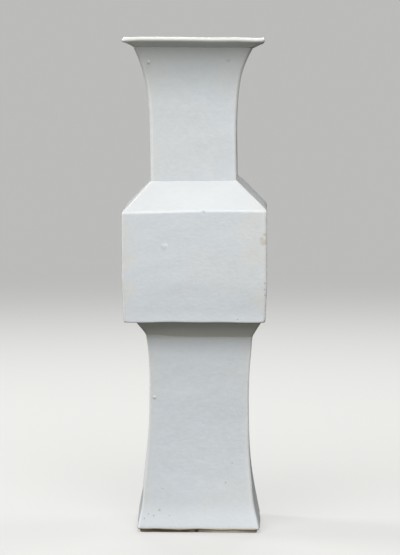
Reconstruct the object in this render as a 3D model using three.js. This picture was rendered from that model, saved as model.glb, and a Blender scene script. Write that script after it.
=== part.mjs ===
// A square vase, built from clay slabs: a flared neck with an everted lip on a square shoulder,
// a box-shaped belly, and a hollow stem that spreads into the foot.
// Millimetres, +Z up. The origin is on the floor, on the axis of the neck and the belly.
import * as THREE from 'three';

// Walls and joints
const wall = 6; // thickness of every slab
const arrisRadius = 2.2; // rounding of the upright corners
const edgeRound = 1.4; // rounding of the level edges
const arcSteps = 3; // facets in half of a corner's rounding
const seamCoil = 5; // side of the clay coil pressed into each inside corner

// Heights of the sections, from the floor up
const footRingHeight = 3.1; // the bare ring that the glazed stem stands on
const stemHeight = 176;
const collarHeight = 14.1;
const bellyHeight = 100.4;
const shoulderHeight = 26.3;
const neckHeight = 120.6;
const lipHeight = 9.5;

// Heights inside the sections
const baseRecess = 10; // hollow under the base slab
const baseThickness = 7;
const footSpread = 114.9; // height over which the stem spreads into the foot
const stemTopSpread = 48.1; // height over which the stem spreads into the collar
const bellyTaperHeight = 34; // lower stretch in which the belly draws in a little
const neckStraight = 21.1; // the neck is upright this far, then flares
const lipTip = 5; // the lip's upright edge
const lipReveal = 1.2; // short step between the neck and the slope under the lip

// Half widths of the square plan
const stemWaistHalf = 45.25;
const bellyHalf = 65.6;
const neckWaistHalf = 39.35;

// How far each stretch spreads or draws in, on each side
const footOverhang = 10.75; // foot beyond the stem's waist
const stemTopOverhang = 3.25; // stem's top beyond its waist
const bellyTaper = 1.35; // belly's bottom inside its upper part
const bellyLedge = 7.05; // flat ledge under the belly, outside the collar
const floorSeat = 15.3; // floor between the belly's wall and the hole
const neckOverhang = 14.3; // neck's top beyond its waist
const lipOverhang = 10.65; // lip beyond the neck's top
const lipTopWidth = 3.2; // from the lip's outside to the mouth's edge
const footRingInset = 2.7; // from the glazed foot's outside to the bare ring
const footRingWidth = 4;

// The stem was set a little to the right of the belly's middle
const stemShift = 4;

// How quickly each flare opens
const neckFlare = 3.7;
const stemTopFlare = 1.9;
const footFlare = 1.9;
const neckSteps = 14;
const footSteps = 11;
const stemTopSteps = 5;

const glaze = { color: 0xd6dbdd, roughness: 0.28, metalness: 0 };
const innerGlaze = { color: 0xcfd3d2, roughness: 0.35, metalness: 0 };
const bareClay = { color: 0xb9ab95, roughness: 0.85, metalness: 0 };

const sideNames = ['front', 'right', 'back', 'left'];
const cornerNames = ['front_right', 'back_right', 'back_left', 'front_left'];

// Levels, counted from the floor
const stemTop = footRingHeight + stemHeight;
const bellyBottom = stemTop + collarHeight;
const bellyTop = bellyBottom + bellyHeight;
const neckFoot = bellyTop + shoulderHeight;
const neckTop = neckFoot + neckHeight;
const height = neckTop + lipHeight;
const stemWaistLow = footRingHeight + footSpread;
const stemWaistHigh = stemTop - stemTopSpread;
const bellyTaperTop = bellyBottom + bellyTaperHeight;
const neckWaist = neckFoot + neckStraight;

// Half widths that follow from the spreads
const footHalf = stemWaistHalf + footOverhang;
const stemTopHalf = stemWaistHalf + stemTopOverhang;
const bellyBottomHalf = bellyHalf - bellyTaper;
const collarTopHalf = bellyBottomHalf - bellyLedge;
const neckTopHalf = neckWaistHalf + neckOverhang;
const lipHalf = neckTopHalf + lipOverhang;
const mouthHalf = lipHalf - lipTopWidth;

// A profile is a list of levels, each with the half width of the outside and of the inside.
const step = (z, outer, inner) => ({ z, outer, inner });

// A slab's thickness is square to its face, so a leaning slab is wider on the level.
const levelThickness = (slope) => wall * Math.hypot(1, slope);

function between(low, high, t) {
  return low + (high - low) * t;
}

function neckHalf(z) {
  const t = Math.max(0, (z - neckWaist) / (neckTop - neckWaist));
  return between(neckWaistHalf, neckTopHalf, t ** neckFlare);
}

function stemHalf(z) {
  if (z > stemWaistHigh) {
    const t = (z - stemWaistHigh) / (stemTop - stemWaistHigh);
    return between(stemWaistHalf, stemTopHalf, t ** stemTopFlare);
  }
  const t = Math.max(0, (stemWaistLow - z) / (stemWaistLow - footRingHeight));
  return between(stemWaistHalf, footHalf, t ** footFlare);
}

function innerHalf(outside, z) {
  const reach = 0.5;
  const slope = (outside(z + reach) - outside(z - reach)) / (2 * reach);
  return outside(z) - levelThickness(slope);
}

function curvedProfile(outside, levels) {
  return levels.map((z) => step(z, outside(z), innerHalf(outside, z)));
}

function evenLevels(low, high, count) {
  return Array.from({ length: count + 1 }, (_, k) => between(low, high, k / count));
}

const neckProfile = curvedProfile(neckHalf, [neckFoot, ...evenLevels(neckWaist, neckTop, neckSteps)]);
const neckInnerFoot = neckProfile[0].inner;
const neckInnerTop = neckProfile.at(-1).inner;

// The base slab's two faces are levels of the stem too, so that its sides lie on the walls.
const baseTop = baseRecess + baseThickness;
const stemLevels = [
  baseRecess,
  ...evenLevels(baseTop, stemWaistLow, footSteps),
  ...evenLevels(stemWaistHigh, stemTop, stemTopSteps),
];
const stemCurve = curvedProfile(stemHalf, stemLevels);
const stemEdge = footRingHeight + edgeRound;
const stemFootInner = innerHalf(stemHalf, stemEdge);
const stemProfile = [
  step(footRingHeight, stemHalf(stemEdge) - edgeRound, stemFootInner),
  step(stemEdge, stemHalf(stemEdge), stemFootInner),
  ...stemCurve,
];
const stemInnerTop = stemCurve.at(-1).inner;

const lipSlopeLow = neckTop + lipReveal;
const lipEdgeLow = height - lipTip;
const mouthInner = (z) => between(neckInnerTop, mouthHalf, (z - neckTop) / (height - neckTop));
const lipProfile = [
  [neckTop, neckTopHalf],
  [lipSlopeLow, neckTopHalf + lipReveal],
  [lipEdgeLow, lipHalf - edgeRound],
  [lipEdgeLow + edgeRound / 2, lipHalf - edgeRound / 4],
  [lipEdgeLow + lipTip / 2, lipHalf],
  [height - edgeRound / 2, lipHalf - edgeRound / 3],
  [height, lipHalf - edgeRound],
].map(([z, outer]) => step(z, outer, mouthInner(z)));

// The shoulder leans at 45 degrees. Its inside turns upright where the neck stands on it.
const ridgeHalf = bellyHalf - edgeRound / 3;
const shoulderSlope = (ridgeHalf - neckWaistHalf) / (neckFoot - bellyTop);
const shoulderOuter = (z) => ridgeHalf - shoulderSlope * (z - bellyTop);
const shoulderInner = (z) => shoulderOuter(z) - levelThickness(shoulderSlope);
const shoulderTurn = bellyTop
  + (ridgeHalf - levelThickness(shoulderSlope) - neckInnerFoot) / shoulderSlope;
const shoulderProfile = [
  step(bellyTop, ridgeHalf, shoulderInner(bellyTop)),
  step(shoulderTurn, shoulderOuter(shoulderTurn), neckInnerFoot),
  step(neckFoot, neckWaistHalf, neckInnerFoot),
];

const bellyTopInner = bellyHalf - wall;
const bellyBottomInner = bellyBottomHalf - wall;
const floorTop = bellyBottom + wall;
const floorHoleHalf = bellyBottomInner - floorSeat;
const bellyAt = (z) => between(
  bellyBottomHalf,
  bellyHalf,
  Math.min(1, (z - bellyBottom) / (bellyTaperTop - bellyBottom)),
);
const bellyProfile = [
  step(bellyBottom, bellyAt(bellyBottom) - edgeRound, bellyBottomInner),
  step(bellyBottom + edgeRound / 3, bellyAt(bellyBottom) - edgeRound / 3, bellyBottomInner),
  step(bellyBottom + edgeRound, bellyAt(bellyBottom + edgeRound), bellyBottomInner),
  step(floorTop, bellyAt(floorTop), bellyBottomInner),
  step(bellyTaperTop, bellyHalf, bellyTopInner),
  step(bellyTop - edgeRound, bellyHalf, bellyTopInner),
  step(bellyTop, ridgeHalf, bellyTopInner),
];

// The collar is the sloping band under the belly. Its inside meets the stem's at the bottom.
const collarSlope = (collarTopHalf - stemTopHalf) / (bellyBottom - stemTop);
const collarTopInner = Math.max(stemInnerTop, collarTopHalf - levelThickness(collarSlope));
const collarProfile = [
  step(stemTop, stemTopHalf, stemInnerTop),
  step(bellyBottom, collarTopHalf, collarTopInner),
];

const footRingOuter = footHalf - footRingInset;
const footRingInner = footRingOuter - footRingWidth;
const footRingProfile = [
  step(0, footRingOuter - edgeRound / 2, footRingInner),
  step(edgeRound / 2, footRingOuter, footRingInner),
  step(footRingHeight, footRingOuter, footRingInner),
];

// Plan of one side: the outside with half of each rounded corner, and the mitred ends.
function sideOutline({ outer, inner }) {
  const centre = outer - arrisRadius;
  const halfCorner = Array.from({ length: arcSteps + 1 }, (_, k) => {
    const angle = (Math.PI / 4) * (1 - k / arcSteps);
    return [centre + arrisRadius * Math.sin(angle), -centre - arrisRadius * Math.cos(angle)];
  });
  // The first point is moved onto the diagonal exactly, so that neighbours share it.
  const crest = centre + arrisRadius * Math.SQRT1_2;
  halfCorner[0] = [crest, -crest];
  const leftCorner = halfCorner.map(([x, y]) => [-x, y]);
  return [...leftCorner, ...halfCorner.reverse(), [inner, -inner], [-inner, -inner]];
}

// Plan of a seam coil, in the inside corner at the right end of the front side.
function coilOutline({ inner }) {
  return [[inner, -inner], [inner, -inner + seamCoil], [inner - seamCoil, -inner]];
}

function squareOutline({ outer }) {
  return [[-outer, -outer], [outer, -outer], [outer, outer], [-outer, outer]];
}

// Joins convex plans, one above the other, into a closed solid.
function loft(profile, outline) {
  const rings = profile.map((level) => outline(level).map(([x, y]) => [x, y, level.z]));
  const count = rings[0].length;
  const corners = [];
  const face = (a, b, c) => corners.push(...a, ...b, ...c);
  for (let k = 0; k + 1 < rings.length; k += 1) {
    const [low, high] = [rings[k], rings[k + 1]];
    for (let i = 0; i < count; i += 1) {
      const next = (i + 1) % count;
      face(low[i], low[next], high[next]);
      face(low[i], high[next], high[i]);
    }
  }
  const [bottom, top] = [rings[0], rings.at(-1)];
  const pivot = count - 1;
  for (let i = 0; i + 1 < pivot; i += 1) {
    face(bottom[pivot], bottom[i + 1], bottom[i]);
    face(top[pivot], top[i], top[i + 1]);
  }
  const geometry = new THREE.BufferGeometry();
  geometry.setAttribute('position', new THREE.Float32BufferAttribute(corners, 3));
  geometry.computeVertexNormals();
  return geometry;
}

function piece(name, geometry, finish, turn = 0) {
  const mesh = new THREE.Mesh(geometry, new THREE.MeshStandardMaterial(finish));
  mesh.name = name;
  mesh.rotation.z = turn * (Math.PI / 2);
  return mesh;
}

// Four alike pieces, each a quarter turn on from the last.
function fourSides(section, profile, finish) {
  return sideNames.map((side, turn) => (
    piece(`${section}_${side}`, loft(profile, sideOutline), finish, turn)
  ));
}

function fourCoils(section, profile) {
  return cornerNames.map((corner, turn) => (
    piece(`${section}_seam_coil_${corner}`, loft(profile, coilOutline), innerGlaze, turn)
  ));
}

// The belly's floor is one square slab between the walls, with a hole over the stem.
function bellyFloor() {
  const slab = new THREE.Shape();
  const half = bellyBottomInner;
  slab.moveTo(-half, -half).lineTo(half, -half).lineTo(half, half).lineTo(-half, half).closePath();
  const [left, right] = [stemShift - floorHoleHalf, stemShift + floorHoleHalf];
  const hole = new THREE.Path();
  hole.moveTo(left, -floorHoleHalf).lineTo(left, floorHoleHalf);
  hole.lineTo(right, floorHoleHalf).lineTo(right, -floorHoleHalf).closePath();
  slab.holes.push(hole);
  const geometry = new THREE.ExtrudeGeometry(slab, { depth: wall, bevelEnabled: false });
  geometry.translate(0, 0, bellyBottom);
  return piece('belly_floor', geometry, innerGlaze);
}

// The base slab closes the stem above the foot's recess.
function baseSlab() {
  const faces = stemCurve.filter(({ z }) => z === baseRecess || z === baseTop);
  const sides = faces.map(({ z, inner }) => step(z, inner, 0));
  return piece('base_slab', loft(sides, squareOutline), innerGlaze);
}

const upperBody = new THREE.Group();
upperBody.add(
  ...fourSides('lip', lipProfile, glaze),
  ...fourSides('neck', neckProfile, glaze),
  ...fourCoils('neck', neckProfile),
  ...fourSides('shoulder', shoulderProfile, glaze),
  ...fourSides('belly', bellyProfile, glaze),
  ...fourCoils('belly', bellyProfile.filter(({ z }) => z >= floorTop)),
  bellyFloor(),
);

const lowerBody = new THREE.Group();
lowerBody.position.x = stemShift;
lowerBody.add(
  ...fourSides('collar', collarProfile, glaze),
  ...fourSides('stem', stemProfile, glaze),
  ...fourCoils('stem', stemCurve.filter(({ z }) => z >= baseTop)),
  baseSlab(),
  ...fourSides('foot_ring', footRingProfile, bareClay),
);

const vase = new THREE.Group();
vase.add(upperBody, lowerBody);

export default vase;
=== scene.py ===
"""A square vase of slab-built stoneware under a pale grey-white glaze, on a plain pale floor."""
import math

import bmesh
import bpy
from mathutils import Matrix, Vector


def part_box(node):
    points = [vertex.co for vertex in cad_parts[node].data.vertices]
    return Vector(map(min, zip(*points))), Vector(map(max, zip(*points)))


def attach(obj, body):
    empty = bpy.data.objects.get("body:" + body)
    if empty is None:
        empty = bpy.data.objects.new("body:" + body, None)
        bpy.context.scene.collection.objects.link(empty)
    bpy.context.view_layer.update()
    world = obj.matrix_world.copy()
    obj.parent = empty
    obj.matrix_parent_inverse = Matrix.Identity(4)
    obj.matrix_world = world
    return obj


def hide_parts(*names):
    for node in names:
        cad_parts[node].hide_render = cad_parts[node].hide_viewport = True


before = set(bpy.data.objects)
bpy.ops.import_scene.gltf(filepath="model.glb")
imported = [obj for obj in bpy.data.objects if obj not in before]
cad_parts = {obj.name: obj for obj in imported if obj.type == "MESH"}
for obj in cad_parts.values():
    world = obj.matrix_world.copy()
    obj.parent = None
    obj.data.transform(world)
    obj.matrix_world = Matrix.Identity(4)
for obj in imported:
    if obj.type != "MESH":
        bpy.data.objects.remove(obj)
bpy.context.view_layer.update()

MM = 0.001

# Levels and half widths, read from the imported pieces
FOOT_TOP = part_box("foot_ring_front")[1].z
STEM_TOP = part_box("stem_front")[1].z
BELLY_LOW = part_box("belly_front")[0].z
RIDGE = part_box("belly_front")[1].z
NECK_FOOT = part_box("neck_front")[0].z
NECK_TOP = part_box("neck_front")[1].z
LIP_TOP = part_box("lip_front")[1].z
FLOOR_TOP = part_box("belly_floor")[1].z
BASE_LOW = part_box("base_slab")[0].z
BASE_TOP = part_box("base_slab")[1].z
STEM_X = (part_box("stem_front")[0].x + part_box("stem_front")[1].x) / 2
BELLY_HALF = -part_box("belly_front")[0].y
LIP_HALF = -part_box("lip_front")[0].y
FOOT_RING_HALF = -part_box("foot_ring_front")[0].y

# The vase's own sizes that a box doesn't show
WALL = 6 * MM
FLOOR_HOLE_HALF = 42.95 * MM
FOOT_RING_WIDTH = 4 * MM
ARRIS = 2.4 * MM
LIP_TIP = 4.5 * MM
LIP_REVEAL = 1.2 * MM
LIP_TOP_ROUND = 2.1 * MM
LIP_UNDER_ROUND = 2.9 * MM
LIP_TOP_WIDTH = 3.2 * MM
LIP_CORNER = 3.2 * MM
LIP_GROOVE_HEIGHT = 0.6 * MM
LIP_GROOVE_DEPTH = 0.4 * MM
LIP_STEP_OUT = 0.9 * MM
FOOT_ROUND = 2.0 * MM
FOOT_ROUND_HEIGHT = 1.3 * MM
GLAZE_SAG = 0.5 * MM
RIDGE_ROUND = 5.5 * MM
RIDGE_START = RIDGE - 0.41 * RIDGE_ROUND
RIDGE_END = RIDGE + 0.29 * RIDGE_ROUND
BELLY_EDGE = 1.1 * MM
RING_EASE = 0.6 * MM
INSIDE_COVE = 7 * MM
NECK_WAIST_HALF = 39.35 * MM
NECK_STRAIGHT = 21.1 * MM
NECK_SPREAD = 14.3 * MM
NECK_FLARE = 3.7
STEM_WAIST_HALF = 45.25 * MM
STEM_FOOT_SPREAD = 10.75 * MM
STEM_TOP_SPREAD = 3.25 * MM
STEM_WAIST = (118 * MM, 131 * MM)
STEM_FLARE = 1.9
BELLY_TAPER = 1.35 * MM
BELLY_TAPER_HEIGHT = 34 * MM
COLLAR_TOP_HALF = 57.2 * MM
COLLAR_FLARE = 1.10
COLLAR_WALL = 1.25 * WALL

# How far the axis drifts to the right at some levels, in millimetres: the vase was put together by eye
LOWER_DRIFT = [(0, -0.5), (50, -1.3), (115, -0.2), (165, 0.5), (180, 0.1), (193, -0.3)]
UPPER_DRIFT = [(193, 0.0), (294, 0.0), (320, -1.2), (375, -1.8), (418, -2.1), (436, -1.7), (450, -0.7)]

# Where the slabs slumped or were pressed: place, move and reach, in millimetres
PULLS = [
    ((66, -64, 449), (0, 0, -1.2), 34),
    ((70, 20, 449), (-0.6, 0, -1.7), 80),
    ((-68, 0, 446), (-0.3, 0, -0.6), 70),
    ((-66, -66, 444), (-0.7, 0, -1.0), 17),
    ((66, -66, 443), (0, 0, 0.5), 14),
    ((66, 64, 449), (0, 0, -1.0), 50),
    ((-60, -64, 449), (0, 0, 0.5), 50),
    ((62, -64, 294), (0, 0, 0.7), 80),
    ((-64, -64, 293), (0, 0, -1.0), 60),
    ((46, 46, 318), (0.1, 0, 3.3), 60),
    ((68, 40, 296), (-0.9, 0, -0.6), 32),
    ((-60, 36, 304), (-0.5, 0, 0.5), 46),
    ((-50, -66, 193), (0, 0, -0.5), 30),
    ((-65, -65, 193), (0.4, 0, 0), 7),
    ((65, -65, 193), (-0.6, 0, 0.5), 7),
    ((60, -66, 193), (0, 0, -0.7), 44),
    ((-38, -50, 180), (0, 0, 1.2), 22),
    ((40, -50, 180), (0, 0, -0.7), 30),
    ((4, -50, 180), (0, 0, -0.9), 36),
    ((57, 6, 16), (1.0, 0, 0), 36),
    ((-49, 6, 16), (-1.2, 0, 0), 36),
    ((55, -54, 26), (-1.2, 0, 0), 24),
    ((-46, -54, 26), (1.5, 0, 0), 24),
    ((4, -56, 2), (0, -1.2, 0), 60),
    ((40, -56, 3), (0, 0, -0.3), 40),
    ((60, -54, 0), (0, -3.0, 0), 70),
    ((-36, -56, 3), (0, 0, 0.4), 9),
    ((-14, -56, 3), (0, 0, -0.4), 11),
    ((3, -56, 3), (0, 0, 0.35), 7),
    ((22, -56, 3), (0, 0, -0.4), 12),
    ((37, -56, 3), (0, 0, 0.4), 7),
    ((-52, -55, 3), (0.6, 0, 0.3), 7),
    ((59.5, -55, 3), (-0.6, 0, 0.3), 7),
    ((54, 14, 50), (-0.8, 0, 0), 80),
    ((-44, -20, 52), (0.5, 0, 0), 34),
    ((-53, 0, 14), (-0.7, 0, 0), 24),
]

# How far the slabs sway across, along and up, in millimetres
SWAY = {"X": 0.7, "Y": 1.5, "Z": 0.7}

LOWER_OUTSIDES = ("collar", "stem", "foot_ring")
LOWER_INSIDES = ("floor", "collar", "stem", "foot_ring")
LEVEL_STEP = 5 * MM
SLOPE_STEP = 4 * MM
SLAB_STEP = 3 * MM
SHORT_STEP = 2 * MM
ROUND_STEP = 0.4 * MM
LINING_DIP = 0.3 * MM
SIDE_CUTS = 25
RING_CUTS = 70
CORNER_STEPS = 5


def deselect():
    bpy.ops.object.select_all(action="DESELECT")


def only(piece):
    deselect()
    piece.select_set(True)
    bpy.context.view_layer.objects.active = piece


def select_edges(piece, test):
    bpy.ops.mesh.select_mode(type="EDGE")
    bpy.ops.mesh.select_all(action="DESELECT")
    mesh = bmesh.from_edit_mesh(piece.data)
    for edge in mesh.edges:
        if test(edge):
            edge.select_set(True)
    bmesh.update_edit_mesh(piece.data)


def even(low, high, step=LEVEL_STEP):
    """Levels from low to high, about a step apart."""
    count = max(1, round((high - low) / step))
    return [low + (high - low) * k / count for k in range(count + 1)]


def lean(z, lower):
    """How far right of the middle the axis is at a level, in the lower or the upper group."""
    drift = LOWER_DRIFT if lower else UPPER_DRIFT
    level = z / MM
    for (low, first), (high, last) in zip(drift, drift[1:]):
        if level <= high or high == drift[-1][0]:
            t = min(1.0, max(0.0, (level - low) / (high - low)))
            shift = first + (last - first) * t * t * (3 - 2 * t)
            break
    return shift * MM + (STEM_X if lower else 0)


def square_ring(name, centre, half, corner, cuts):
    """A square outline with rounded corners, lying at its level. It is left in edit mode."""
    deselect()
    bpy.ops.mesh.primitive_plane_add(size=2 * half, location=centre)
    ring = bpy.context.object
    ring.name = name
    bpy.ops.object.transform_apply(location=True, rotation=True, scale=True)
    bpy.ops.object.mode_set(mode="EDIT")
    bpy.ops.mesh.select_mode(type="VERT")
    bpy.ops.mesh.select_all(action="SELECT")
    bpy.ops.mesh.bevel(offset=corner, segments=CORNER_STEPS, affect="VERTICES")
    bpy.ops.mesh.select_all(action="SELECT")
    bpy.ops.mesh.delete(type="ONLY_FACE")
    select_edges(ring, lambda edge: edge.calc_length() > half / 2)
    bpy.ops.mesh.subdivide(number_cuts=cuts)
    bpy.ops.mesh.select_all(action="SELECT")
    return ring


def draw_up(name, levels, corner, lower, cuts=SIDE_CUTS):
    """Pulls a square ring up through levels, each a height and a half width."""
    (level, half), rest = levels[0], levels[1:]
    centre = Vector((lean(level, lower), 0, level))
    skin = square_ring(name, centre, half, corner, cuts)
    for level, next_half in rest:
        next_centre = Vector((lean(level, lower), 0, level))
        bpy.ops.mesh.extrude_region_move(TRANSFORM_OT_translate={"value": next_centre - centre})
        grow = next_half / half
        bpy.ops.transform.resize(value=(grow, grow, 1), center_override=next_centre)
        centre, half = next_centre, next_half
    bpy.ops.object.mode_set(mode="OBJECT")
    return skin


def hollow_section(name, outside, inside, corner=ARRIS, cove=INSIDE_COVE, cuts=SIDE_CUTS):
    """A square tube: an outer and an inner skin, joined at both ends.

    The lining's ends lie a little lower than the skin's, since loops on one level bridge badly.
    """
    (low, low_half), *middle, (high, high_half) = inside
    dip = -LINING_DIP if low > 0 else LINING_DIP
    inside = [(low + dip, low_half), *middle, (high - LINING_DIP, high_half)]
    skin = draw_up(name, outside, corner, name in LOWER_OUTSIDES, cuts)
    lining = draw_up(name + "_lining", inside, cove, name in LOWER_INSIDES, cuts)
    deselect()
    lining.select_set(True)
    skin.select_set(True)
    bpy.context.view_layer.objects.active = skin
    bpy.ops.object.join()
    bpy.ops.object.mode_set(mode="EDIT")
    for end in (outside[0][0], outside[-1][0]):
        select_edges(skin, lambda edge: edge.is_boundary and abs(edge.verts[0].co.z - end) < MM)
        bpy.ops.mesh.bridge_edge_loops()
    bpy.ops.mesh.select_all(action="SELECT")
    bpy.ops.mesh.normals_make_consistent(inside=False)
    bpy.ops.object.mode_set(mode="OBJECT")
    return skin


def hand_made(piece):
    """Slow unevenness of clay slabs. It depends on place alone, so that sections still meet."""
    only(piece)
    for direction, texture in zip("XYZ", sway_textures):
        sway = piece.modifiers.new("sway", "DISPLACE")
        sway.texture = texture
        sway.texture_coords = "LOCAL"
        sway.direction = direction
        sway.mid_level = 0.5
        sway.strength = SWAY[direction] * MM
        bpy.ops.object.modifier_apply(modifier=sway.name)
    for place, move, reach in PULLS:
        start.location = Vector(place) * MM
        end.location = (Vector(place) + Vector(move)) * MM
        pull = piece.modifiers.new("pull", "WARP")
        pull.object_from = start
        pull.object_to = end
        pull.falloff_type = "SMOOTH"
        pull.falloff_radius = reach * MM
        bpy.ops.object.modifier_apply(modifier=pull.name)
    bpy.ops.object.shade_smooth_by_angle(angle=math.radians(27))


def make_sway_textures():
    made = []
    for name, scale, basis in (
        ("sway_across", 0.085, "ORIGINAL_PERLIN"),
        ("sway_along", 0.095, "IMPROVED_PERLIN"),
        ("sway_up", 0.05, "BLENDER_ORIGINAL"),
    ):
        texture = bpy.data.textures.new(name, "CLOUDS")
        texture.noise_scale = scale
        texture.noise_depth = 1
        texture.noise_basis = basis
        made.append(texture)
    return made


def make_handles():
    """Two empties that the pulls go from and to."""
    handles = []
    for name in ("pull_start", "pull_end"):
        handle = bpy.data.objects.new(name, None)
        bpy.context.scene.collection.objects.link(handle)
        handles.append(handle)
    return handles


def with_wall(outer, z):
    """Half width of the inside where the outside is outer(z)."""
    reach = 0.5 * MM
    slope = (outer(z + reach) - outer(z - reach)) / (2 * reach)
    return outer(z) - WALL * math.hypot(1, slope)


def neck_half(z):
    start = NECK_FOOT + NECK_STRAIGHT
    t = max(0.0, (z - start) / (NECK_TOP - start))
    return NECK_WAIST_HALF + NECK_SPREAD * t**NECK_FLARE


def stem_half(z):
    low, high = STEM_WAIST
    if z > high:
        return STEM_WAIST_HALF + STEM_TOP_SPREAD * ((z - high) / (STEM_TOP - high)) ** STEM_FLARE
    t = max(0.0, (low - z) / (low - FOOT_TOP))
    return STEM_WAIST_HALF + STEM_FOOT_SPREAD * t**STEM_FLARE


def belly_half(z):
    t = min(1.0, (z - BELLY_LOW) / BELLY_TAPER_HEIGHT)
    return BELLY_HALF - BELLY_TAPER * (1 - t)


def ridge_half(z):
    """The rounded edge between the belly's face and the shoulder's slope."""
    return BELLY_HALF - RIDGE_ROUND + math.sqrt(RIDGE_ROUND**2 - (z - RIDGE_START) ** 2)


def quarter(steps, first=0):
    """Sines and cosines of the steps round a quarter circle."""
    angles = [math.pi / 2 * k / steps for k in range(first, steps + 1)]
    return [(math.sin(angle), math.cos(angle)) for angle in angles]


def make_lip():
    neck_top = neck_half(NECK_TOP)
    slope_low, slope_high = NECK_TOP + LIP_REVEAL, LIP_TOP - LIP_TIP
    slope_foot, under = neck_top + LIP_STEP_OUT, LIP_HALF - LIP_UNDER_ROUND
    groove = (NECK_TOP + LIP_GROOVE_HEIGHT, neck_top - LIP_GROOVE_DEPTH)
    outside = [(NECK_TOP, neck_top), groove]
    for t in (0, 0.25, 0.5, 0.75, 1):
        outside.append((slope_low + (slope_high - slope_low) * t,
                        slope_foot + (under - slope_foot) * t))
    for sine, cosine in quarter(4, first=1):
        outside.append((slope_high + 0.8 * LIP_UNDER_ROUND * (1 - cosine),
                        under + LIP_UNDER_ROUND * sine))
    for sine, cosine in quarter(6):
        outside.append((LIP_TOP - LIP_TOP_ROUND * (1 - sine), LIP_HALF - LIP_TOP_ROUND * (1 - cosine)))
    mouth = LIP_HALF - LIP_TOP_WIDTH
    neck_inside = with_wall(neck_half, NECK_TOP)
    inside = [
        (z, neck_inside + (mouth - neck_inside) * (z - NECK_TOP) / (LIP_TOP - NECK_TOP))
        for z in even(NECK_TOP, LIP_TOP, SHORT_STEP)
    ]
    return hollow_section("lip", outside, inside, corner=LIP_CORNER)


def make_neck():
    levels = even(NECK_FOOT, NECK_TOP)
    outside = [(z, neck_half(z)) for z in levels]
    inside = [(z, with_wall(neck_half, z)) for z in levels]
    return hollow_section("neck", outside, inside)


def make_shoulder():
    foot, brow = neck_half(NECK_FOOT), ridge_half(RIDGE_END)
    edge = [(z, ridge_half(z)) for z in even(RIDGE, RIDGE_END, ROUND_STEP)]
    slope = [
        (z, foot + (brow - foot) * (NECK_FOOT - z) / (NECK_FOOT - RIDGE_END))
        for z in even(RIDGE_END, NECK_FOOT, SLOPE_STEP)[1:]
    ]
    slab = WALL * math.sqrt(2)
    neck_inside = with_wall(neck_half, NECK_FOOT)
    inside = [
        (z, max(neck_inside, BELLY_HALF - slab - (z - RIDGE)))
        for z in even(RIDGE, NECK_FOOT, SLOPE_STEP)
    ]
    return hollow_section("shoulder", edge + slope, inside)


def make_belly():
    outside = []
    for sine, cosine in quarter(4):
        z = BELLY_LOW + BELLY_EDGE * (1 - cosine)
        outside.append((z, belly_half(z) - BELLY_EDGE * (1 - sine)))
    outside += [(z, belly_half(z)) for z in even(BELLY_LOW + 2 * BELLY_EDGE, RIDGE_START)]
    outside += [(z, ridge_half(z)) for z in even(RIDGE_START, RIDGE, ROUND_STEP)[1:]]
    inside = [(z, belly_half(z) - WALL) for z in even(BELLY_LOW, RIDGE)]
    return hollow_section("belly", outside, inside)


def make_collar():
    low, high = stem_half(STEM_TOP), COLLAR_TOP_HALF
    outside = [
        (z, low + (high - low) * ((z - STEM_TOP) / (BELLY_LOW - STEM_TOP)) ** COLLAR_FLARE)
        for z in even(STEM_TOP, BELLY_LOW, SHORT_STEP)
    ]
    inside_low = with_wall(stem_half, STEM_TOP)
    inside = [(z, max(inside_low, half - COLLAR_WALL)) for z, half in outside]
    return hollow_section("collar", outside, inside)


def make_stem():
    rim = FOOT_TOP - GLAZE_SAG
    outside = [
        (rim + FOOT_ROUND_HEIGHT * (1 - cosine), stem_half(FOOT_TOP) - FOOT_ROUND * (1 - sine))
        for sine, cosine in quarter(6)
    ]
    outside += [(z, stem_half(z)) for z in even(FOOT_TOP + 2 * FOOT_ROUND, STEM_TOP)]
    inside = [(z, with_wall(stem_half, z)) for z in even(FOOT_TOP, STEM_TOP)]
    return hollow_section("stem", outside, inside)


def make_foot_ring():
    outer, inner = FOOT_RING_HALF, FOOT_RING_HALF - FOOT_RING_WIDTH
    levels = (0, 0.7 * MM, 1.6 * MM, FOOT_TOP)
    outside = [(z, outer - (RING_EASE if z == 0 else 0)) for z in levels]
    inside = [(z, inner) for z in levels]
    return hollow_section("foot_ring", outside, inside, cove=ARRIS, cuts=RING_CUTS)


def make_floor():
    """The belly's floor, with its hole over the stem."""
    outside = [(z, belly_half(BELLY_LOW) - WALL) for z in even(BELLY_LOW, FLOOR_TOP, SLAB_STEP)]
    inside = [(z, FLOOR_HOLE_HALF) for z, _ in outside]
    return hollow_section("floor", outside, inside, corner=INSIDE_COVE, cove=ARRIS)


def make_base():
    """The slab that closes the stem above the recess of the foot."""
    levels = [(z, with_wall(stem_half, z)) for z in even(BASE_LOW, BASE_TOP, SLAB_STEP)]
    slab = draw_up("base", levels, INSIDE_COVE, True)
    bpy.ops.object.mode_set(mode="EDIT")
    for end in (BASE_LOW, BASE_TOP):
        select_edges(slab, lambda edge: all(abs(v.co.z - end) < 1e-6 for v in edge.verts))
        bpy.ops.mesh.edge_face_add()
    bpy.ops.mesh.select_all(action="SELECT")
    bpy.ops.mesh.normals_make_consistent(inside=False)
    bpy.ops.object.mode_set(mode="OBJECT")
    return slab


# Materials

def add(tree, kind, **settings):
    made = tree.nodes.new(kind)
    for name, value in settings.items():
        setattr(made, name, value)
    return made


def wire(tree, source, target):
    tree.links.new(source, target)


def math_node(tree, operation, first, second=None):
    made = add(tree, "ShaderNodeMath", operation=operation)
    for socket, value in zip(made.inputs, (first, second)):
        if value is None:
            continue
        if isinstance(value, (int, float)):
            socket.default_value = value
        else:
            wire(tree, value, socket)
    return made.outputs[0]


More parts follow.
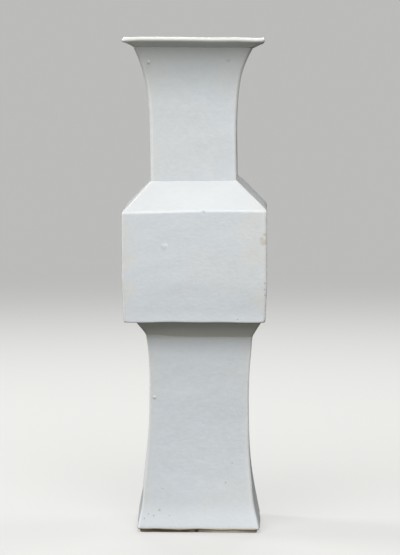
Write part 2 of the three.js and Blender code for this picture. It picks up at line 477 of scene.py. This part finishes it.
def noise(tree, vector, scale, detail=2):
    made = add(tree, "ShaderNodeTexNoise")
    made.inputs["Scale"].default_value = scale
    made.inputs["Detail"].default_value = detail
    wire(tree, vector, made.inputs["Vector"])
    return made.outputs["Fac"]


def fade(tree, value, start, finish, least=0, most=1, curve="SMOOTHSTEP"):
    """Runs from least to most while a value runs from start to finish, and holds beyond."""
    made = add(tree, "ShaderNodeMapRange", interpolation_type=curve)
    for name, number in (("From Min", start), ("From Max", finish), ("To Min", least),
                         ("To Max", most)):
        made.inputs[name].default_value = number
    wire(tree, value, made.inputs["Value"])
    return made.outputs["Result"]


def add_relief(tree, shader, height, strength, distance):
    bump = add(tree, "ShaderNodeBump")
    bump.inputs["Strength"].default_value = strength
    bump.inputs["Distance"].default_value = distance
    wire(tree, height, bump.inputs["Height"])
    wire(tree, bump.outputs["Normal"], shader.inputs["Normal"])


def new_material(name):
    """An empty material: itself, its nodes, its shader and the object's own coordinates."""
    material = bpy.data.materials.new(name)
    material.use_nodes = True
    tree = material.node_tree
    where = add(tree, "ShaderNodeTexCoord").outputs["Object"]
    return material, tree, tree.nodes["Principled BSDF"], where


def new_group(name, inputs, outputs):
    """An empty shader group with named sockets: each input is its kind and its default."""
    group = bpy.data.node_groups.new(name, "ShaderNodeTree")
    for socket, (kind, default) in inputs.items():
        made = group.interface.new_socket(socket, in_out="INPUT", socket_type=kind)
        if default is not None:
            made.default_value = default
    for socket, kind in outputs.items():
        group.interface.new_socket(socket, in_out="OUTPUT", socket_type=kind)
    return group, add(group, "NodeGroupInput"), add(group, "NodeGroupOutput")


def make_arris_group():
    """1 on the upright corners of a square piece, fading to 0 over a width along each face."""
    group, entry, out = new_group(
        "arris_mask",
        {"Vector": ("NodeSocketVector", None), "Width": ("NodeSocketFloat", 0.01)},
        {"Mask": "NodeSocketFloat"},
    )
    parts = add(group, "ShaderNodeSeparateXYZ")
    wire(group, entry.outputs["Vector"], parts.inputs[0])
    across = math_node(group, "ABSOLUTE", parts.outputs["X"])
    along = math_node(group, "ABSOLUTE", parts.outputs["Y"])
    apart = math_node(group, "ABSOLUTE", math_node(group, "SUBTRACT", across, along))
    share = math_node(group, "DIVIDE", apart, entry.outputs["Width"])
    wire(group, fade(group, share, 1, 0), out.inputs["Mask"])
    return group


def make_mark_group():
    """1 at a place on the piece, fading to 0 at a radius, with an uneven rim."""
    group, entry, out = new_group(
        "glaze_mark",
        {"Vector": ("NodeSocketVector", None), "Place": ("NodeSocketVector", (0, 0, 0)),
         "Radius": ("NodeSocketFloat", 0.001)},
        {"Mask": "NodeSocketFloat"},
    )
    away = add(group, "ShaderNodeVectorMath", operation="DISTANCE")
    wire(group, entry.outputs["Vector"], away.inputs[0])
    wire(group, entry.outputs["Place"], away.inputs[1])
    ragged = add(group, "ShaderNodeTexNoise")
    wire(group, math_node(group, "DIVIDE", 0.8, entry.outputs["Radius"]), ragged.inputs["Scale"])
    ragged.inputs["Detail"].default_value = 1
    wire(group, entry.outputs["Vector"], ragged.inputs["Vector"])
    rim = math_node(group, "MULTIPLY", ragged.outputs["Fac"], 0.7)
    share = math_node(group, "DIVIDE", away.outputs["Value"], entry.outputs["Radius"])
    share = math_node(group, "ADD", share, rim)
    wire(group, fade(group, share, 1.35, 0.55), out.inputs["Mask"])
    return group


def make_peel_group():
    """The dimpled skin of a thick glaze: grain over dimples over slow swells, and a slow cloud."""
    group, entry, out = new_group(
        "orange_peel",
        {"Vector": ("NodeSocketVector", None)},
        {"Height": "NodeSocketFloat", "Mottle": "NodeSocketFloat", "Cloud": "NodeSocketFloat"},
    )
    flat = add(group, "ShaderNodeMapping", vector_type="TEXTURE")
    flat.inputs["Scale"].default_value = (1, 1, 0.65)
    flat.inputs["Rotation"].default_value = (0, -0.35, 0)
    wire(group, entry.outputs["Vector"], flat.inputs["Vector"])
    height = 0
    for scale, amount in ((30, 1.3), (230, 0.28), (560, 0.05)):
        layer = math_node(group, "MULTIPLY", noise(group, flat.outputs[0], scale, 1), amount)
        height = math_node(group, "ADD", layer, height)
    wire(group, height, out.inputs["Height"])
    wire(group, noise(group, flat.outputs[0], 150, 4), out.inputs["Mottle"])
    wire(group, noise(group, entry.outputs["Vector"], 14, 4), out.inputs["Cloud"])
    return group


def place_group(tree, group, vector, **values):
    made = add(tree, "ShaderNodeGroup", node_tree=group)
    wire(tree, vector, made.inputs["Vector"])
    for name, value in values.items():
        made.inputs[name.replace("_", " ")].default_value = value
    return made


def blend_colour(tree, amount, under, over):
    """Paints one colour over another by an amount. Either may be a socket or a plain colour."""
    mix = add(tree, "ShaderNodeMix", data_type="RGBA")
    for socket, value in ((mix.inputs["Factor"], amount), (mix.inputs["A"], under),
                          (mix.inputs["B"], over)):
        if isinstance(value, bpy.types.NodeSocket):
            wire(tree, value, socket)
        elif isinstance(value, (int, float)):
            socket.default_value = value
        else:
            socket.default_value = (*value, 1)
    return mix.outputs["Result"]


GLAZE_COOL = (0.650, 0.702, 0.750)
GLAZE_WARM = (0.685, 0.695, 0.685)
GLAZE_EDGE = (0.715, 0.705, 0.665)
GLAZE_THIN = (0.605, 0.645, 0.675)
# Glaze running thick on a swell, and painted light where the bands below use it
GLAZE_THICK_AND_PAINTED_LIGHT = (0.760, 0.808, 0.855)
GLAZE_CREAM = (0.715, 0.715, 0.690)
# Partly glaze breaking pale over the upright edges, partly a painted highlight along them
GLAZE_EDGE_BREAK_AND_HIGHLIGHT = (0.820, 0.830, 0.820)
# Painted light: the whiter cast of the light on the shoulder's upward slope
GLAZE_PAINTED_TOP_LIGHT = (0.690, 0.698, 0.700)
# Painted shade: the next two colours darken the glaze where shade falls under the lip and under the
# belly
GLAZE_PAINTED_DEEP_SHADE = (0.435, 0.445, 0.415)
GLAZE_PAINTED_SHADE = (0.500, 0.530, 0.550)
CLAY_EDGE = (0.60, 0.52, 0.40)
IRON_BROWN = (0.16, 0.10, 0.05)
STAIN_TAN = (0.42, 0.30, 0.16)
CLAY_BURNT = (0.30, 0.24, 0.165)
CLAY_BUFF = (0.50, 0.43, 0.33)
CLAY_SPECK = (0.30, 0.22, 0.14)
WARM_WIDTH = 11 * MM
CREST_WIDTH = 2.6 * MM

# Small faults of the firing, on the front: across, height, radius in millimetres, and kind
FRONT_FAULTS = [
    (-41.7, 427.3, 2.2, "pimple"),
    (30.1, 428.7, 2.0, "pit"),
    (8.3, 292.7, 1.8, "pit"),
    (9.3, 286.0, 3.0, "warm"),
    (-26.9, 262.0, 4.2, "swell"),
    (54.0, 281.0, 22.0, "warm"),
    (52.0, 254.0, 18.0, "warm"),
    (60.0, 214.0, 14.0, "warm"),
    (-62.0, 275.0, 14.0, "warm"),
    (-62.0, 250.0, 14.0, "warm"),
    (-62.0, 222.0, 14.0, "warm"),
    (63.4, 273.0, 2.6, "stain"),
    (61.0, 268.6, 3.4, "stain"),
    (62.6, 265.4, 4.8, "stain"),
    (63.8, 229.0, 1.5, "iron"),
    (63.4, 223.0, 1.3, "iron"),
    (63.8, 218.0, 1.5, "iron"),
    (39.0, 195.2, 1.2, "pit"),
    (-36.7, 122.6, 2.0, "pimple"),
    (28.2, 45.2, 1.5, "iron"),
    (34.2, 62.8, 1.1, "iron"),
    (-32.2, 20.3, 1.6, "iron"),
    (-22.9, 15.2, 1.4, "iron"),
    (-37.3, 15.2, 1.2, "iron"),
    (-45.7, 12.8, 1.2, "iron"),
    (-42.0, 16.6, 1.0, "iron"),
    (-29.0, 39.5, 1.0, "iron"),
]

# What each kind of fault does: how much it tints the glaze and with what, and how it stands out
FAULT_KINDS = ("warm", "swell", "iron", "stain", "pit", "pimple")
FAULT_TINTS = [
    ("warm", 0.4, GLAZE_EDGE),
    ("swell", 0.15, GLAZE_THICK_AND_PAINTED_LIGHT),
    ("iron", 0.34, IRON_BROWN),
    ("stain", 0.38, STAIN_TAN),
    ("pit", 0.2, IRON_BROWN),
]
FAULT_HEIGHTS = [("pimple", 1.2), ("swell", 0.75), ("pit", -0.5)]

# Levels in millimetres between which the glaze changes: full, none, how much, and to what colour. Some
# bands are painted shade or painted light, as marked.
UPPER_BANDS = [
    # Painted shade: the first two bands darken the neck's top under the lip
    (436, 388, 0.33, GLAZE_PAINTED_DEEP_SHADE),
    (438, 424, 0.34, GLAZE_PAINTED_DEEP_SHADE),
    (448, 443.5, 0.8, GLAZE_CREAM),
    # Painted light: the next two bands brighten the belly below the ridge and above its lower edge
    (288, 294, 0.22, GLAZE_THICK_AND_PAINTED_LIGHT),
    (196, 206, 0.5, GLAZE_THICK_AND_PAINTED_LIGHT),
]
# Painted light: a whiter cast on the shoulder's upward slope
SHOULDER_PAINTED_LIGHT_BANDS = [(294, 291, 0.6, GLAZE_PAINTED_TOP_LIGHT)]
LOWER_BANDS = [
    # Painted shade: the first two bands darken the collar and the stem's top under the belly
    (180, 160, 0.88, GLAZE_PAINTED_SHADE),
    (180.5, 175, 0.9, GLAZE_PAINTED_DEEP_SHADE),
    # Painted light: brighter towards the foot, where the flare faces up
    (11, 32, 0.9, GLAZE_THICK_AND_PAINTED_LIGHT),
    (3.6, 4.8, 0.8, CLAY_EDGE),
]


def front_depth(height):
    """How far in front of the axis the front face stands at a height, in metres."""
    z = height * MM
    if z < STEM_TOP:
        return stem_half(z)
    if z < RIDGE:
        return belly_half(max(z, BELLY_LOW))
    return neck_half(max(z, NECK_FOOT))


def fault_masks(tree, vector, kind):
    """All the faults of one kind, as one mask."""
    total = None
    for across, height, radius, what in FRONT_FAULTS:
        if what != kind:
            continue
        spot = place_group(tree, mark_group, vector, Radius=radius * MM)
        spot.inputs["Place"].default_value = (across * MM, -front_depth(height), height * MM)
        mask = spot.outputs["Mask"]
        total = mask if total is None else math_node(tree, "MAXIMUM", total, mask)
    return total


def glaze_material(name, centre, faults, bands=()):
    material, tree, shader, where = new_material(name)
    centred = add(tree, "ShaderNodeMapping")
    centred.inputs["Location"].default_value = (-centre, 0, 0)
    wire(tree, where, centred.inputs["Vector"])
    corner = place_group(tree, arris_group, centred.outputs[0], Width=WARM_WIDTH)
    crest = place_group(tree, arris_group, centred.outputs[0], Width=CREST_WIDTH)
    peel = place_group(tree, peel_group, where)
    cloud, mottle, height = (peel.outputs[layer] for layer in ("Cloud", "Mottle", "Height"))
    colour = GLAZE_COOL
    for amount, tint in (
        (fade(tree, cloud, 0.42, 0.68, most=0.55), GLAZE_WARM),
        (fade(tree, mottle, 0.35, 0.65, most=0.5, curve="LINEAR"), GLAZE_THIN),
        (math_node(tree, "MULTIPLY", corner.outputs["Mask"], 0.4), GLAZE_WARM),
        # Partly a painted highlight along each upright arris, partly glaze breaking pale over it
        (math_node(tree, "MULTIPLY", crest.outputs["Mask"], 0.6), GLAZE_EDGE_BREAK_AND_HIGHLIGHT),
    ):
        colour = blend_colour(tree, amount, colour, tint)
    levels = add(tree, "ShaderNodeSeparateXYZ")
    wire(tree, where, levels.inputs[0])
    # Bands by height, among them painted shade and painted light
    for full, none, amount, tint in bands:
        share = fade(tree, levels.outputs["Z"], none * MM, full * MM, most=amount)
        colour = blend_colour(tree, share, colour, tint)
    if faults:
        masks = {kind: fault_masks(tree, where, kind) for kind in FAULT_KINDS}
        for kind, amount, tint in FAULT_TINTS:
            share = math_node(tree, "MULTIPLY", masks[kind], amount)
            colour = blend_colour(tree, share, colour, tint)
        for kind, amount in FAULT_HEIGHTS:
            raised = math_node(tree, "MULTIPLY", masks[kind], amount)
            height = math_node(tree, "ADD", height, raised)
    wire(tree, colour, shader.inputs["Base Color"])
    roughness = fade(tree, cloud, 0, 1, least=0.24, most=0.40, curve="LINEAR")
    wire(tree, roughness, shader.inputs["Roughness"])
    add_relief(tree, shader, height, strength=0.8, distance=0.6 * MM)
    shader.inputs["IOR"].default_value = 1.5
    return material


# Painted light and shade on the front of the bare ring: a pale patch to the right, and dark patches to
# the left, at the notch and under the glaze's rim; across, height and radius in millimetres, and
# colour
RING_PAINTED_LIGHT_AND_SHADE = [
    (30, 0.8, 26, (0.95, 0.86, 0.68)),
    (-30, 2.6, 18, (0.17, 0.13, 0.085)),
    (2, 1.6, 3.4, (0.06, 0.045, 0.03)),
    (-8, 2.8, 6, (0.20, 0.15, 0.10)),
]


def clay_material():
    material, tree, shader, where = new_material("bare_clay")
    grain = noise(tree, where, 420, detail=5)
    burn = fade(tree, noise(tree, where, 40), 0.4, 0.6)
    colour = blend_colour(tree, burn, CLAY_BURNT, CLAY_BUFF)
    speck = fade(tree, grain, 0.62, 0.75, curve="LINEAR")
    colour = blend_colour(tree, speck, colour, CLAY_SPECK)
    # Paints the ring's light and shade over the clay
    for across, height, radius, tint in RING_PAINTED_LIGHT_AND_SHADE:
        patch = place_group(tree, mark_group, where, Radius=radius * MM)
        patch.inputs["Place"].default_value = (across * MM, -FOOT_RING_HALF, height * MM)
        colour = blend_colour(tree, patch.outputs["Mask"], colour, tint)
    wire(tree, colour, shader.inputs["Base Color"])
    shader.inputs["Roughness"].default_value = 0.85
    add_relief(tree, shader, grain, strength=0.6, distance=0.3 * MM)
    return material


def dress(piece, material):
    piece.data.materials.clear()
    piece.data.materials.append(material)


# Floor, backdrop, camera and lamps, in metres

FLOOR_COLOUR = (0.30, 0.30, 0.295)
FLOOR_GLOW = (0.43, 0.43, 0.422)
FAR_GLOW = (0.50, 0.50, 0.49)
FLOOR_BOUNCE = (0.10, 0.093, 0.078)
FLOOR_NEAR, FLOOR_FAR = 0.7, 3.2
FLOOR_SIZE = 18
BACKDROP = 5.5
BACKDROP_HEIGHT = 5
SWEEP_ROUND = 2.5
CAMERA_PLACE = Vector((0.0578, -2.839, 0.4466))
CAMERA_AIM = Vector((0.0039, 0, 0.2289))
LAMP_AIM = Vector((0, 0, 0.25))
WORLD_LIGHT = (0.2, 0.192, 0.172)
WORLD_SEEN = (0.51, 0.51, 0.50)

# Soft square lamps: place, size and power in watts
LAMPS = {
    "key": ((-0.25, -1.80, 2.05), (2.2, 1.8), 65),
    "front": ((0.8, -3.3, 0.45), (1.4, 1.4), 20),
    "right": ((1.9, 0.6, 2.1), (1.0, 0.8), 17),
    "left": ((-2.3, 0.8, 1.35), (1.0, 0.8), 42),
    "back": ((0, 2.4, 1.7), (1.2, 1.0), 38),
}


def make_sweep():
    """A pale floor that curves up into the backdrop."""
    deselect()
    bpy.ops.mesh.primitive_plane_add(size=FLOOR_SIZE, location=(0, BACKDROP - FLOOR_SIZE / 2, 0))
    sweep = bpy.context.object
    sweep.name = "sweep"
    bpy.ops.object.transform_apply(location=True, rotation=True, scale=True)
    bpy.ops.object.mode_set(mode="EDIT")
    at_back = BACKDROP - 0.01
    select_edges(sweep, lambda edge: all(v.co.y > at_back for v in edge.verts))
    rise = (0, 0, BACKDROP_HEIGHT)
    bpy.ops.mesh.extrude_region_move(TRANSFORM_OT_translate={"value": rise})
    select_edges(sweep, lambda edge: all(v.co.y > at_back and v.co.z < 0.01 for v in edge.verts))
    bpy.ops.mesh.bevel(offset=SWEEP_ROUND, segments=32, affect="EDGES")
    bpy.ops.object.mode_set(mode="OBJECT")
    bpy.ops.object.shade_smooth()
    sweep.data.materials.append(floor_material())


def floor_material():
    """A matt floor whose pale tone is partly a glow that only the camera sees."""
    material, tree, shader, where = new_material("pale_floor")
    shader.inputs["Roughness"].default_value = 0.9
    shader.inputs["Specular IOR Level"].default_value = 0
    seen = add(tree, "ShaderNodeLightPath").outputs["Is Camera Ray"]
    reach = add(tree, "ShaderNodeVectorMath", operation="LENGTH")
    wire(tree, where, reach.inputs[0])
    far = fade(tree, reach.outputs["Value"], FLOOR_NEAR, FLOOR_FAR)
    shown = blend_colour(tree, far, FLOOR_COLOUR, (0, 0, 0))
    wire(tree, blend_colour(tree, seen, FLOOR_BOUNCE, shown), shader.inputs["Base Color"])
    wire(tree, blend_colour(tree, far, FLOOR_GLOW, FAR_GLOW), shader.inputs["Emission Color"])
    wire(tree, seen, shader.inputs["Emission Strength"])
    return material


def put(thing, place, aim):
    """Adds a camera or a lamp at its place, facing its aim."""
    bpy.context.scene.collection.objects.link(thing)
    thing.location = place
    thing.rotation_mode = "QUATERNION"
    thing.rotation_quaternion = (aim - Vector(place)).to_track_quat("-Z", "Y")


def make_camera():
    """The photograph's view: from the height of the lip, a little to the right."""
    camera = bpy.data.objects.new("camera", bpy.data.cameras.new("camera"))
    put(camera, CAMERA_PLACE, CAMERA_AIM)
    camera.data.lens = 200
    camera.data.sensor_width = 36
    bpy.context.scene.camera = camera


def make_lights():
    for name, (place, size, power) in LAMPS.items():
        lamp = bpy.data.objects.new(name, bpy.data.lights.new(name, "AREA"))
        lamp.data.shape = "RECTANGLE"
        lamp.data.size, lamp.data.size_y = size
        lamp.data.energy = power
        lamp.visible_camera = False
        put(lamp, place, LAMP_AIM)
    world = bpy.data.worlds.new("studio")
    world.use_nodes = True
    bpy.context.scene.world = world
    tree = world.node_tree
    seen = add(tree, "ShaderNodeLightPath").outputs["Is Camera Ray"]
    wire(tree, blend_colour(tree, seen, WORLD_LIGHT, WORLD_SEEN),
         tree.nodes["Background"].inputs["Color"])


bpy.context.scene.view_settings.view_transform = "Standard"
make_camera()
make_lights()
make_sweep()

sway_textures = make_sway_textures()
start, end = make_handles()
arris_group = make_arris_group()
mark_group = make_mark_group()
peel_group = make_peel_group()

upper_glaze = glaze_material("glaze_upper", 0, faults=True, bands=UPPER_BANDS)
# The shoulder's glaze carries painted light: a whiter cast on its upward slope
shoulder_glaze = glaze_material("glaze_shoulder", 0, faults=True, bands=SHOULDER_PAINTED_LIGHT_BANDS)
lower_glaze = glaze_material("glaze_lower", STEM_X, faults=True, bands=LOWER_BANDS)
inner_glaze = glaze_material("glaze_inside", 0, faults=False)
bare_clay = clay_material()

SIDES = ("front", "right", "back", "left")
CORNERS = ("front_right", "back_right", "back_left", "front_left")
SECTIONS = (
    ("lip", make_lip, upper_glaze, False),
    ("neck", make_neck, upper_glaze, True),
    ("shoulder", make_shoulder, shoulder_glaze, False),
    ("belly", make_belly, upper_glaze, True),
    ("collar", make_collar, lower_glaze, False),
    ("stem", make_stem, lower_glaze, True),
    ("foot_ring", make_foot_ring, bare_clay, False),
)
SLABS = (("belly_floor", make_floor), ("base_slab", make_base))
for section, make, material, has_coils in SECTIONS:
    piece = make()
    piece.name = f"{section}_body"
    hand_made(piece)
    dress(piece, material)
    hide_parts(*[f"{section}_{side}" for side in SIDES])
    if has_coils:
        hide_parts(*[f"{section}_seam_coil_{corner}" for corner in CORNERS])
    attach(piece, "root")

for name, make in SLABS:
    piece = make()
    piece.name = f"{name}_body"
    hand_made(piece)
    dress(piece, inner_glaze)
    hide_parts(name)
    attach(piece, "root")

for handle in (start, end):
    bpy.data.objects.remove(handle)
